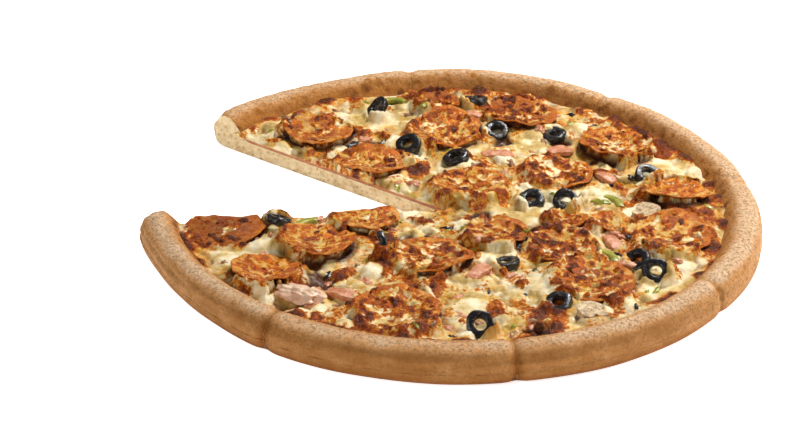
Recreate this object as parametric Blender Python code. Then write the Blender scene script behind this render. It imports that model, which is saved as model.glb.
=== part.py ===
"""A 14 inch pan pizza cut in eight, with one slice taken out.

Metres, +Z up. The origin is the centre of the flat base, and the gap of the missing slice faces -X.
Each slice has its own bread crust. The sauce and the melted cheese run over the cuts as one layer each,
and every topping as large as a berry is its own solid, bedded 0.3 mm clear of the cheese.
"""

import math

import bmesh
import bpy
from mathutils import Matrix, Vector, noise

MM = 0.001

# Driving sizes of the bread
PIZZA_RADIUS = 176 * MM
RIM_HEIGHT = 22 * MM
RIM_WIDTH = 29 * MM
RIM_CREST_INSET = 12.5 * MM
BASE_THICKNESS = 8.5 * MM
WIDEST_HEIGHT = 9 * MM
RIM_SQUARENESS = 0.78
RIM_SECTION_DEGREES = (-90, -62, -38, -14, 12, 38, 64, 90)
SLOPE_SHARES = (0.28, 0.52, 0.76, 1)

# The cuts, in degrees from +X, and the two that bound the missing slice
CUT_ANGLES = (-171, -124, -79, -34, 9, 55, 98, 144)
GAP_FIRST, GAP_LAST = CUT_ANGLES[-1], CUT_ANGLES[0] + 360
CUT_WIDTH = 0.8 * MM
SLICE_STEPS = 14
SEAM_CROWDING = 0.72

# How much further out, and higher, the rim of each slice rises than the plain profile
RIM_SPREAD = (-2.4 * MM, 0.6 * MM, 0.0, 0.6 * MM, 0.0, 0.0, -0.6 * MM)
RIM_RISE = (-0.4 * MM, 0.0, 0.3 * MM, 0.0, 0.4 * MM, 1.0 * MM, -1.0 * MM)
NOTCH_DEPTH, NOTCH_LENGTH = 1.5 * MM, 4 * MM
NOTCH_DROP, LUMP_LIFT = 0.8, 0.8
RIM_LUMP = 0.8 * MM
LUMPS_ROUND, LUMPS_UP = 4, 7

# The layers on the bread
CLEAR = 0.3 * MM
BED_CLEARANCE = 0.1 * MM
SAUCE_BOTTOM = BASE_THICKNESS + CLEAR
SAUCE_TOP = SAUCE_BOTTOM + 1.4 * MM
CHEESE_BOTTOM = SAUCE_TOP + CLEAR
CHEESE_TOP = 13.9 * MM
CHEESE_LOWEST = 12.2 * MM
CHEESE_HIGHEST = 18.5 * MM
CHEESE_ROLL = 1.6 * MM
CHEESE_ROLL_SIZES = (21 * MM, 9 * MM)
FINE_ROLL_SHIFT = Vector((0, 0, 50 * MM))
CHEESE_GRID = 5.5 * MM
LUMP_FOOT = 0.6 * MM
BED_STEPS_UP, BED_STEPS_ROUND = 5, 70
BED_BELOW_CREST = 1 * MM
SHEET_INSET, SHEET_SPARE = 4.5 * MM, 4 * MM
SEAT = 12.6 * MM
SEAT_ROLL, SEAT_ROLL_SIZE = 1.2 * MM, 35 * MM

# Toppings, all by distance from the centre in mm and angle in degrees
PEPPERONI_THICKNESS = 1.7 * MM
PEPPERONI_SIDES, PEPPERONI_RING = 18, 0.4
PEPPERONI_WAVE, WAVES_ROUND = 0.35 * MM, 3
CUP_POWER, TILT_MARGIN = 2.4, 1.1
# distance, angle, radius, cup, fold, fold direction, tilt, direction that is tilted up
PEPPERONI = (
    (128, 194, 21, 1.6, -1.5, 20, 3, 90),
    (131, 221, 19, 4.0, 1.5, 120, 9, 250),
    (88, 213, 21, 3.6, 1.5, 20, 8, 245),
    (50, 198, 19, 2.2, 0.8, 60, 2, 300),
    (64, 261, 22, 2.8, 1.2, 150, 6, 280),
    (127, 257, 23, 2.6, 1.4, 160, 3, 90),
    (46, 309, 18, 3.4, 1.6, 70, 7, 270),
    (80, 321, 19, 2.2, 1.0, 40, 4, 120),
    (69, 343, 11, 2.6, 2.0, 10, 8, 260),
    (93, 347, 12, 3.0, 1.0, 100, 6, 200),
    (114, 311, 22, 3.2, 1.4, 30, 4, 110),
    (136, 7, 19, 4.2, 2.0, 90, 12, 265),
    (130, 345, 21, 3.2, 3.0, 80, 3, 90),
    (126, 38, 22, 3.4, 1.6, 40, 7, 240),
    (76, 33, 20, 2.4, 1.2, 120, 3, 200),
    (134, 70, 22, 2.6, 1.5, 60, 5, 250),
    (93, 91, 22, 3.6, 1.5, 80, 5, 90),
    (26, 62, 22, 3.2, 1.4, 110, 7, 275),
    (133, 93, 14, 3.0, 2.0, 50, 6, 260),
    (118, 131, 21, 3.0, 1.4, 130, 4, 230),
    (69, 133, 20, 2.6, 1.2, 70, 4, 280),
)
OLIVE_RADIUS, OLIVE_HOLE, OLIVE_THICKNESS = 7.6 * MM, 3.2 * MM, 4.4 * MM
OLIVE_SKIN, OLIVE_HALF_WIDTH = 1.2 * MM, 3 * MM
OLIVE_STEPS = 12
# distance, angle, lean, direction it leans to
OLIVES = (
    (98, 187, 24, 60),
    (66, 239, 74, 10),
    (140, 276, 48, 275),
    (74, 294, 10, 120),
    (125, 297, 18, 240),
    (118, 327, 30, 220),
    (135, 325, 42, 260),
    (47, 8, 20, 250),
    (66, 3, 34, 250),
    (122, 19, 26, 290),
    (104, 73, 22, 270),
    (139, 83, 16, 90),
    (58, 86, 18, 200),
    (126, 110, 46, 200),
    (76, 108, 28, 230),
    (113, 56, 8, 200),
)
HAM_HEIGHT = 3.6 * MM
HAM_BEVEL = 1.1 * MM
HAM_SPARE_LENGTH, HAM_SPARE_WIDTH = 1 * MM, 0.6 * MM
HAM_TAPER, HAM_SWAY = 0.22, 0.1
# distance, angle, length, width, direction of the length, arch
HAM = (
    (80, 281, 20, 8, 58, 1.4),
    (121, 241, 17, 8, -20, 0.8),
    (98, 334, 18, 7, -70, 1.2),
    (70, 66, 20, 8, 2, 1.4),
    (95, 47, 18, 9, 21, 1.6),
    (98, 22, 14, 7, -49, 0.8),
    (118, 83, 16, 6, -8, 1.2),
)
PEPPER_HEIGHT, PEPPER_WIDTH, PEPPER_BEND_RADIUS = 3.2 * MM, 5 * MM, 11 * MM
PEPPER_DRAFT, PEPPER_INNER_SHARE = 0.8 * MM, 0.8
PEPPER_STEPS, PEPPER_ROOM = 6, 0.4 * MM
# distance, angle, degrees of the bend, direction of the middle of the bend
PEPPERS = (
    (94, 6, 95, 40),
    (103, 327, 75, 30),
    (141, 104, 90, 95),
    (97, 195, 65, 120),
)
MUSHROOM_THICKNESS, MUSHROOM_CAP = 3.4 * MM, 9 * MM
CAP_SHARE, CAP_FLATNESS = 0.92, 0.95
CAP_DEGREES = range(60, 301, 20)
STALK_SHARE, STALK_FLARE, STALK_START, STALK_END = 0.34, 0.8, 0.28, 0.9
# distance, angle, direction of the stalk, lean
MUSHROOMS = (
    (113, 357, 200, 6),
    (138, 303, 330, 5),
)
CHICKEN_SPOT = (134, 232)
CHICKEN_SIZE = (14 * MM, 7 * MM, 4.5 * MM)
CHICKEN_TURN = -25
CHICKEN_SHARE, CHICKEN_FLATNESS = 0.94, 0.9
CHICKEN_WAVE, CHICKEN_WAVES, CHICKEN_MOST = 0.12, 1.7, 1.05

# Lumps in the cheese, over crumbled sausage and buried pieces: distance, angle, radius, height
LUMPS = (
    (55, 226, 8, 3.6), (76, 236, 7, 3.2), (101, 251, 9, 3.8), (93, 268, 7, 2.4), (111, 288, 8, 3.2),
    (134, 289, 9, 3.0), (85, 332, 9, 3.4), (107, 338, 7, 2.6), (143, 330, 8, 2.8), (147, 353, 7, 2.2),
    (82, 20, 8, 2.8), (106, 10, 7, 2.6), (142, 22, 8, 2.2), (88, 58, 8, 3.0), (50, 40, 7, 2.4),
    (112, 102, 9, 2.8), (95, 117, 9, 3.0), (142, 121, 8, 2.4), (118, 207, 9, 3.2), (146, 206, 7, 2.4),
    (33, 225, 8, 2.6), (30, 330, 8, 2.6), (24, 160, 7, 2.0), (98, 100, 6, 2.2), (146, 240, 7, 2.0),
)

# How the toppings are pushed apart until they no longer overlap
SETTLE_ROUNDS = 400
PIECE_GAP = 0.7 * MM
EXTRA_PUSH = 0.05 * MM
FAR_APART, FAR_FROM_CUT = 60 * MM, 30 * MM
BED_EDGE_SHARE = 0.86
WELD = 1e-6
CREASE_DEGREES = 40


def polar(distance, angle):
    """The point at a distance in metres and an angle in degrees round the pizza."""
    turn = math.radians(angle)
    return Vector((distance * math.cos(turn), distance * math.sin(turn), 0))


def smooth(value):
    value = min(1.0, max(0.0, value))
    return value * value * (3 - 2 * value)


# The bread

def rim_profile():
    """(radius, height) round the section of the crust, from the middle of the base outwards and back on top."""
    crest = PIZZA_RADIUS - RIM_CREST_INSET
    points = [(0, 0)]
    for degrees in RIM_SECTION_DEGREES:
        turn = math.radians(degrees)
        reach = math.cos(turn) ** RIM_SQUARENESS if abs(degrees) < 90 else 0
        lift = math.copysign(abs(math.sin(turn)) ** RIM_SQUARENESS, degrees)
        half = WIDEST_HEIGHT if degrees < 0 else RIM_HEIGHT - WIDEST_HEIGHT
        points.append((crest + RIM_CREST_INSET * reach, WIDEST_HEIGHT + half * lift))
    points += [inner_slope(share) for share in SLOPE_SHARES]
    points.append((0, BASE_THICKNESS))
    return points


def inner_slope(share):
    """(radius, height) on the slope from the crest of the rim, at share 0, down to the floor, at share 1."""
    crest, foot = PIZZA_RADIUS - RIM_CREST_INSET, PIZZA_RADIUS - RIM_WIDTH
    fall = 0.5 + 0.5 * math.cos(math.pi * share)
    return crest + (foot - crest) * share, BASE_THICKNESS + (RIM_HEIGHT - BASE_THICKNESS) * fall


def crust_slice(number, start, end):
    """One slice of bread: the rim profile turned from one cut to the next, then swollen and notched."""
    bm = bmesh.new()
    face = bm.faces.new([bm.verts.new((radius, 0, height)) for radius, height in rim_profile()])
    span = math.radians(end - start)
    bmesh.ops.spin(
        bm, geom=[face, *face.edges, *face.verts], axis=(0, 0, 1), angle=span, steps=SLICE_STEPS
    )
    bmesh.ops.remove_doubles(bm, verts=bm.verts[:], dist=WELD)
    spread, rise = RIM_SPREAD[number], RIM_RISE[number]
    foot = PIZZA_RADIUS - RIM_WIDTH
    for vert in bm.verts:
        radius = math.hypot(vert.co.x, vert.co.y)
        if radius < WELD:
            continue
        share = math.atan2(vert.co.y, vert.co.x) / span
        share -= SEAM_CROWDING * math.sin(2 * math.pi * share) / (2 * math.pi)
        turn = math.radians(start) + share * span
        from_cut = min(share, 1 - share) * span * PIZZA_RADIUS
        notch = math.exp(-((from_cut / NOTCH_LENGTH) ** 2)) * NOTCH_DEPTH
        around = LUMPS_ROUND * polar(1, math.degrees(turn))
        lump = RIM_LUMP * noise.noise(around + Vector((0, 0, LUMPS_UP * vert.co.z / RIM_HEIGHT)))
        lean = smooth(3 * min(share, 1 - share))
        outwards = smooth((radius - foot) / RIM_WIDTH)
        if vert.co.z > BASE_THICKNESS:
            above = (vert.co.z - BASE_THICKNESS) / (RIM_HEIGHT - BASE_THICKNESS)
            vert.co.z += above * (rise * lean - NOTCH_DROP * notch + LUMP_LIFT * lump)
        if vert.co.z > 0:
            radius += outwards * (spread * lean - notch + lump)
        else:
            radius += outwards * spread * lean
        vert.co.x, vert.co.y = radius * math.cos(turn), radius * math.sin(turn)
    apart = CUT_WIDTH / 2 / math.sin(span / 2)
    bmesh.ops.translate(bm, verts=bm.verts[:], vec=polar(apart, (start + end) / 2))
    return finished(bm, f"crust_slice_{number + 1}", "crust")


# Where the toppings lie

def layout():
    """Every topping with its place and the circles that its footprint fills, jostled until none overlap."""
    pieces = []

    def add(kind, distance, angle, reach, half_width, turn, spec):
        """A footprint of circles of half_width along a line through the middle that reaches so far."""
        steps = max(0, math.ceil((reach - half_width) / half_width))
        along = polar(1, turn)
        offsets = [along * (reach - half_width) * i / steps for i in range(-steps, steps + 1)] if steps else [Vector()]
        pieces.append({"kind": kind, "at": polar(distance * MM, angle), "offsets": offsets,
                       "radius": half_width, "turn": turn, "spec": spec})

    for spec in PEPPERONI:
        add("pepperoni", *spec[:2], spec[2] * MM, spec[2] * MM, 0, spec)
    for spec in OLIVES:
        standing = math.radians(spec[2])
        half = max(OLIVE_RADIUS * math.cos(standing) + 0.5 * OLIVE_THICKNESS * math.sin(standing), OLIVE_HALF_WIDTH)
        add("olive", *spec[:2], OLIVE_RADIUS, min(half, OLIVE_RADIUS), spec[3] + 90, spec)
    for spec in HAM:
        add("ham", *spec[:2], spec[2] * MM / 2, spec[3] * MM / 2, spec[4], spec)
    for spec in PEPPERS:
        reach = PEPPER_BEND_RADIUS * math.sin(math.radians(spec[2] / 2)) + PEPPER_WIDTH / 2
        sag = PEPPER_BEND_RADIUS * (1 - math.cos(math.radians(spec[2] / 2)))
        add("pepper", *spec[:2], reach, (PEPPER_WIDTH + sag) / 2 + PEPPER_ROOM, spec[3] + 90, spec)
    for spec in MUSHROOMS:
        add("mushroom", *spec[:2], MUSHROOM_CAP, MUSHROOM_CAP, 0, spec)
    add("chicken", *CHICKEN_SPOT, CHICKEN_SIZE[0], CHICKEN_SIZE[1], CHICKEN_TURN, None)
    for _ in range(SETTLE_ROUNDS):
        if not jostle(pieces):
            break
    return pieces


def jostle(pieces):
    """Pushes overlapping footprints apart, in from the rim and off the gap. True while anything still moved."""
    moved = False
    bed = inner_slope(BED_EDGE_SHARE)[0]
    for i, piece in enumerate(pieces):
        for other in pieces[i + 1:]:
            if (piece["at"] - other["at"]).length > FAR_APART:
                continue
            for a in piece["offsets"]:
                for b in other["offsets"]:
                    way = piece["at"] + a - other["at"] - b
                    lack = piece["radius"] + other["radius"] + PIECE_GAP - way.length
                    if lack > WELD:
                        share = other["radius"] / (piece["radius"] + other["radius"])
                        push = way.normalized() * (lack + EXTRA_PUSH)
                        piece["at"] += push * share
                        other["at"] -= push * (1 - share)
                        moved = True
        for offset in piece["offsets"]:
            spot = piece["at"] + offset
            lack = spot.length + piece["radius"] - bed
            if lack > WELD:
                piece["at"] -= spot.normalized() * (lack + EXTRA_PUSH)
                moved = True
            if piece["kind"] == "pepperoni":
                continue
            for angle, side in ((GAP_FIRST, -1), (GAP_LAST, 1)):
                inwards = polar(1, angle + 90) * side
                spot = piece["at"] + offset
                lack = piece["radius"] + PIECE_GAP - spot.dot(inwards)
                if lack > WELD and spot.dot(polar(1, angle)) > 0 and lack < FAR_FROM_CUT:
                    piece["at"] += inwards * (lack + EXTRA_PUSH)
                    moved = True
    return moved


# Cheese and sauce

def bed_solid(name, low, high, clearance, material):
    """What fills the pizza between two heights, out to the rim, without the missing slice."""
    heights = [low + (high - low) * i / BED_STEPS_UP for i in range(BED_STEPS_UP + 1)]
    outline = [(0, low)] + [(slope_radius(z) - clearance, z) for z in heights] + [(0, high)]
    bm = bmesh.new()
    face = bm.faces.new([bm.verts.new((radius, 0, height)) for radius, height in outline])
    first, last = math.radians(GAP_LAST), math.radians(GAP_FIRST + 360)
    bmesh.ops.spin(
        bm, geom=[face, *face.edges, *face.verts], axis=(0, 0, 1), angle=last - first, steps=BED_STEPS_ROUND
    )
    bmesh.ops.remove_doubles(bm, verts=bm.verts[:], dist=WELD)
    bmesh.ops.rotate(bm, verts=bm.verts[:], matrix=Matrix.Rotation(first, 3, "Z"))
    return finished(bm, name, material)


def slope_radius(height):
    """The radius of the rim's inner slope at a height."""
    share = math.acos(2 * min(1, max(0, (height - BASE_THICKNESS) / (RIM_HEIGHT - BASE_THICKNESS))) - 1) / math.pi
    return inner_slope(share)[0]


def cheese_top(x, y, pieces):
    """The height of the melted cheese: it rolls and mounds, and dips under each topping."""
    spot = Vector((x, y, 0))
    broad, fine = CHEESE_ROLL_SIZES
    roll = noise.noise(spot / broad) + 0.5 * noise.noise((spot + FINE_ROLL_SHIFT) / fine)
    height = CHEESE_TOP + CHEESE_ROLL * roll
    for distance, angle, radius, rise in LUMPS:
        away = (spot - polar(distance * MM, angle)).length / (radius * MM)
        height = max(height, CHEESE_TOP - LUMP_FOOT + rise * MM * math.exp(-(away ** 2)))
    cell = CHEESE_GRID * math.sqrt(2)
    for piece in pieces:
        seat = piece["seat"] - CLEAR
        for offset in piece["offsets"]:
            outside = (spot - piece["at"] - offset).length - piece["radius"]
            if outside > cell:
                continue
            if outside > 0:
                height = min(height, seat + piece["rise"] * cell / max(cell - outside, 0.1 * cell))
            else:
                height = min(height, seat + piece["rise"] * max(0, 1 + outside / cell))
    return min(CHEESE_HIGHEST, max(CHEESE_LOWEST, height))


def cheese_sheet(pieces):
    """A block whose top is the cheese surface, trimmed to the bed between the rims."""
    half = PIZZA_RADIUS - RIM_CREST_INSET - SHEET_INSET
    count = round(2 * half / CHEESE_GRID)
    bm = bmesh.new()
    bmesh.ops.create_grid(bm, x_segments=count, y_segments=count, size=half)
    for vert in bm.verts:
        vert.co.z = cheese_top(vert.co.x, vert.co.y, pieces)
    border = [edge for edge in bm.edges if edge.is_boundary]
    skirt = bmesh.ops.extrude_edge_only(bm, edges=border)["geom"]
    for item in skirt:
        if isinstance(item, bmesh.types.BMVert):
            item.co.z = CHEESE_BOTTOM - SHEET_SPARE
    bmesh.ops.holes_fill(bm, edges=[edge for edge in bm.edges if edge.is_boundary], sides=0)
    sheet = finished(bm, "cheese", "cheese")
    bed = bed_solid("bed_cutter", CHEESE_BOTTOM, RIM_HEIGHT - BED_BELOW_CREST, BED_CLEARANCE, "cheese")
    bed.hide_render = True
    bed.display_type = "WIRE"
    CUTTERS.objects.link(bed)
    PIZZA.objects.unlink(bed)
    trim = sheet.modifiers.new("bed", "BOOLEAN")
    trim.operation = "INTERSECT"
    trim.object = bed
    trim.solver = "EXACT"
    return sheet


# The toppings

def seat_height(piece):
    """Pieces over a buried lump ride a little higher."""
    return SEAT + max(0, SEAT_ROLL * noise.noise(piece["at"] / SEAT_ROLL_SIZE))


def drop_to_seat(bm, piece):
    """Moves a shaped piece over its spot, with its lowest point on its seat."""
    lowest = min(vert.co.z for vert in bm.verts)
    bmesh.ops.translate(bm, verts=bm.verts[:], vec=piece["at"] + Vector((0, 0, piece["seat"] - lowest)))


def cut_at_gap(bm):
    """Trims what reaches into the missing slice, along the two cuts."""
    for angle, side in ((GAP_FIRST, -1), (GAP_LAST, 1)):
        normal = polar(1, angle + 90)
        middle = sum((vert.co for vert in bm.verts), Vector()) / len(bm.verts)
        if middle.dot(polar(1, angle)) < 0:
            continue
        sides = [vert.co.dot(normal) * side for vert in bm.verts]
        if min(sides) > 0 or max(sides) < 0:
            continue
        cut = bmesh.ops.bisect_plane(
            bm, geom=bm.verts[:] + bm.edges[:] + bm.faces[:], plane_co=(0, 0, 0), plane_no=normal * side,
            clear_inner=True,
        )["geom_cut"]
        bmesh.ops.holes_fill(bm, edges=[item for item in cut if isinstance(item, bmesh.types.BMEdge)], sides=0)


def pepperoni(name, piece):
    """A thin round slice, cupped and folded by the heat, and tipped up on one side."""
    _, _, radius, cup, fold, fold_turn, tilt, tilt_turn = piece["spec"]
    radius, cup, fold = radius * MM, cup * MM, fold * MM
    bm = bmesh.new()
    bmesh.ops.create_circle(bm, cap_ends=True, segments=PEPPERONI_SIDES, radius=radius)
    bmesh.ops.inset_region(bm, faces=bm.faces[:], thickness=PEPPERONI_RING * radius, use_even_offset=True)
    middle = max(bm.faces, key=lambda face: len(face.verts))
    bmesh.ops.poke(bm, faces=[middle])
    top = bmesh.ops.extrude_face_region(bm, geom=bm.faces[:])["geom"]
    bmesh.ops.translate(
        bm, verts=[item for item in top if isinstance(item, bmesh.types.BMVert)], vec=(0, 0, PEPPERONI_THICKNESS)
    )
    across, up = polar(1, fold_turn), polar(1, tilt_turn)
    for vert in bm.verts:
        flat = Vector((vert.co.x, vert.co.y, 0))
        share = flat.length / radius
        phase = WAVES_ROUND * math.atan2(flat.y, flat.x) + math.radians(fold_turn)
        wave = PEPPERONI_WAVE * share ** 3 * math.cos(phase)
        vert.co.z += cup * share ** CUP_POWER + fold * (flat.dot(across) / radius) ** 2 + wave
        vert.co.z += math.tan(math.radians(tilt)) * flat.dot(up)
    drop_to_seat(bm, piece)
    cut_at_gap(bm)
    return finished(bm, name, "pepperoni")


def pepperoni_rise(spec):
    """How far the lowest edge of a slice is above its seat."""
    radius, cup, fold, tilt = spec[2] * MM, spec[3] * MM, spec[4] * MM, math.radians(spec[6])
    return max(0, cup + min(0, fold) - PEPPERONI_WAVE - math.tan(tilt) * radius * TILT_MARGIN)


def olive_ring(name, piece):
    """A slice across a pitted olive: flat cut faces, a round skin and a hole, leaning on the cheese."""
    lean, turn = piece["spec"][2:]
    half = OLIVE_THICKNESS / 2
    flat = OLIVE_RADIUS - OLIVE_SKIN
    section = ((OLIVE_HOLE, -half), (flat, -half), (OLIVE_RADIUS, 0), (flat, half), (OLIVE_HOLE, half))
    bm = bmesh.new()
    corners = [bm.verts.new((radius, 0, height)) for radius, height in section]
    edges = [bm.edges.new((corners[i - 1], corners[i])) for i in range(len(corners))]
    bmesh.ops.spin(
        bm, geom=[*corners, *edges], axis=(0, 0, 1), angle=2 * math.pi, steps=OLIVE_STEPS, use_merge=True
    )
    bmesh.ops.remove_doubles(bm, verts=bm.verts[:], dist=WELD)
    axle = polar(1, turn + 90)
    bmesh.ops.rotate(bm, verts=bm.verts[:], matrix=Matrix.Rotation(math.radians(lean), 3, axle))
    drop_to_seat(bm, piece)
    return finished(bm, name, "olive")


def lengthwise(bm):
    """The edges that run along x."""
    return [edge for edge in bm.edges if abs(edge.verts[0].co.x - edge.verts[1].co.x) > 1 * MM]


def ham_strip(name, piece):
    """A chunky strip of ham with worn edges, arched a little."""
    _, _, length, width, turn, arch = piece["spec"]
    length, width, arch = length * MM, width * MM, arch * MM
    bm = bmesh.new()
    bmesh.ops.create_cube(bm, size=1)
    bmesh.ops.scale(
        bm, verts=bm.verts[:], vec=(length - HAM_SPARE_LENGTH, width - HAM_SPARE_WIDTH, HAM_HEIGHT)
    )
    bmesh.ops.bevel(bm, geom=lengthwise(bm), offset=HAM_BEVEL, segments=1, profile=0.5, affect="EDGES")
    bmesh.ops.subdivide_edges(bm, edges=lengthwise(bm), cuts=2)
    for vert in bm.verts:
        share = 2 * vert.co.x / length
        vert.co.z += arch * (1 - share ** 2)
        vert.co.y *= 1 - HAM_TAPER * share ** 4 + HAM_SWAY * math.sin(4 * share)
    bmesh.ops.rotate(bm, verts=bm.verts[:], matrix=Matrix.Rotation(math.radians(turn), 3, "Z"))
    drop_to_seat(bm, piece)
    return finished(bm, name, "ham")


def pepper_strip(name, piece):
    """A bent strip of green pepper, part of a ring."""
    bend, turn = piece["spec"][2:]
    span = math.radians(bend)
    low, high = PEPPER_BEND_RADIUS - PEPPER_WIDTH / 2, PEPPER_BEND_RADIUS + PEPPER_WIDTH / 2
    section = ((low, 0), (high, 0), (high - PEPPER_DRAFT, PEPPER_HEIGHT),
               (low + PEPPER_DRAFT, PEPPER_HEIGHT * PEPPER_INNER_SHARE))
    bm = bmesh.new()
    face = bm.faces.new([bm.verts.new((radius, 0, height)) for radius, height in section])
    bmesh.ops.spin(bm, geom=[face, *face.edges, *face.verts], axis=(0, 0, 1), angle=span, steps=PEPPER_STEPS)
    bmesh.ops.rotate(bm, verts=bm.verts[:], matrix=Matrix.Rotation(math.radians(turn) - span / 2, 3, "Z"))
    middle = (PEPPER_BEND_RADIUS * (1 + math.cos(span / 2))) / 2
    bmesh.ops.translate(bm, verts=bm.verts[:], vec=-polar(middle, turn))
    drop_to_seat(bm, piece)
    return finished(bm, name, "green_pepper")


def mushroom_slice(name, piece):
    """A slice through a mushroom: a round cap and a short stalk, as a flat outline with thickness."""
    stalk_turn, lean = piece["spec"][2:]
    cap, stalk = MUSHROOM_CAP * CAP_SHARE, MUSHROOM_CAP * STALK_SHARE
    start, end = STALK_START * cap, STALK_END * cap
    outline = [(cap * CAP_FLATNESS * math.cos(math.radians(degrees)), cap * math.sin(math.radians(degrees)))
               for degrees in CAP_DEGREES]
    outline += [(start, -stalk), (end, -STALK_FLARE * stalk), (end, STALK_FLARE * stalk), (start, stalk)]
    curve = bpy.data.curves.new(name, "CURVE")
    curve.dimensions = "2D"
    curve.fill_mode = "BOTH"
    curve.extrude = MUSHROOM_THICKNESS / 2
    spline = curve.splines.new("POLY")
    spline.points.add(len(outline) - 1)
    for point, (x, y) in zip(spline.points, outline):
        point.co = (x, y, 0, 1)
    spline.use_cyclic_u = True
    curve.materials.append(MATERIALS["mushroom"])
    slice_object = bpy.data.objects.new(name, curve)
    PIZZA.objects.link(slice_object)
    slice_object.parent = CENTRE
    slice_object.rotation_euler = (0, math.radians(lean), math.radians(stalk_turn))
    lift = MUSHROOM_THICKNESS / 2 + MUSHROOM_CAP * math.sin(math.radians(lean))
    slice_object.location = piece["at"] + Vector((0, 0, piece["seat"] + lift))
    return slice_object


def chicken_lump(name, piece):
    """A smooth pale lump, part covered by cheese."""
    long, wide, high = CHICKEN_SIZE
    bm = bmesh.new()
    bmesh.ops.create_icosphere(bm, subdivisions=2, radius=1)
    for vert in bm.verts:
        wave = 1 + CHICKEN_WAVE * noise.noise(vert.co * CHICKEN_WAVES)
        sizes = (long * CHICKEN_SHARE, wide * CHICKEN_SHARE, high * CHICKEN_FLATNESS)
        vert.co = Vector([share * size for share, size in zip(vert.co, sizes)]) * min(wave, CHICKEN_MOST)
        vert.co.z = max(vert.co.z, -0.5 * high)
    bmesh.ops.rotate(bm, verts=bm.verts[:], matrix=Matrix.Rotation(math.radians(CHICKEN_TURN), 3, "Z"))
    drop_to_seat(bm, piece)
    return finished(bm, name, "chicken")


# Materials and assembly

def principled(name, color, roughness):
    material = bpy.data.materials.new(name)
    material.use_nodes = True
    shader = material.node_tree.nodes["Principled BSDF"]
    shader.inputs["Base Color"].default_value = (*color, 1)
    shader.inputs["Roughness"].default_value = roughness
    shader.inputs["Metallic"].default_value = 0
    return material


def finished(bm, name, material):
    """The bmesh as a named object of the pizza, with its faces pointing out."""
    bmesh.ops.recalc_face_normals(bm, faces=bm.faces[:])
    mesh = bpy.data.meshes.new(name)
    bm.to_mesh(mesh)
    bm.free()
    mesh.materials.append(MATERIALS[material])
    mesh.shade_smooth()
    mesh.set_sharp_from_angle(angle=math.radians(CREASE_DEGREES))
    made = bpy.data.objects.new(name, mesh)
    PIZZA.objects.link(made)
    made.parent = CENTRE
    return made


def centre_on_origin():
    """Moves the pizza so that the middle of its outline stands over the origin."""
    spots = [vert.co for item in PIZZA.objects if item.name.startswith("crust") for vert in item.data.vertices]
    for axis in (0, 1):
        CENTRE.location[axis] = -(min(spot[axis] for spot in spots) + max(spot[axis] for spot in spots)) / 2


def new_collection(name):
    collection = bpy.data.collections.new(name)
    bpy.context.scene.collection.children.link(collection)
    return collection


for old in list(bpy.data.objects):
    bpy.data.objects.remove(old)

PIZZA = new_collection("pan_pizza")
CUTTERS = new_collection("cutters")
CUTTERS.hide_render = True
MATERIALS = {
    "crust": principled("crust", (0.62, 0.36, 0.16), 0.75),
    "sauce": principled("sauce", (0.45, 0.06, 0.02), 0.4),
    "cheese": principled("cheese", (0.86, 0.70, 0.40), 0.4),
    "pepperoni": principled("pepperoni", (0.40, 0.09, 0.03), 0.4),
    "olive": principled("olive", (0.02, 0.02, 0.025), 0.3),
    "ham": principled("ham", (0.75, 0.33, 0.26), 0.45),
    "green_pepper": principled("green_pepper", (0.32, 0.38, 0.06), 0.35),
    "mushroom": principled("mushroom", (0.55, 0.47, 0.34), 0.5),
    "chicken": principled("chicken", (0.78, 0.60, 0.42), 0.4),
}
MAKERS = {
    "pepperoni": pepperoni, "olive": olive_ring, "ham": ham_strip,
    "pepper": pepper_strip, "mushroom": mushroom_slice, "chicken": chicken_lump,
}
CENTRE = bpy.data.objects.new("pizza_centre", None)
PIZZA.objects.link(CENTRE)


def main():
    for number in range(len(CUT_ANGLES) - 1):
        crust_slice(number, CUT_ANGLES[number], CUT_ANGLES[number + 1])
    bed_solid("sauce", SAUCE_BOTTOM, SAUCE_TOP, 2 * CLEAR, "sauce")
    pieces = layout()
    count = {}
    for piece in pieces:
        piece["seat"] = seat_height(piece)
        piece["rise"] = pepperoni_rise(piece["spec"]) if piece["kind"] == "pepperoni" else 0
    cheese_sheet(pieces)
    for piece in pieces:
        kind = piece["kind"]
        count[kind] = count.get(kind, 0) + 1
        MAKERS[kind](f"{kind}_{count[kind]:02d}", piece)
    centre_on_origin()


main()
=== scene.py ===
import math
import random
import bmesh
import bpy
import numpy as np
from mathutils import Matrix, Vector, noise


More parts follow.
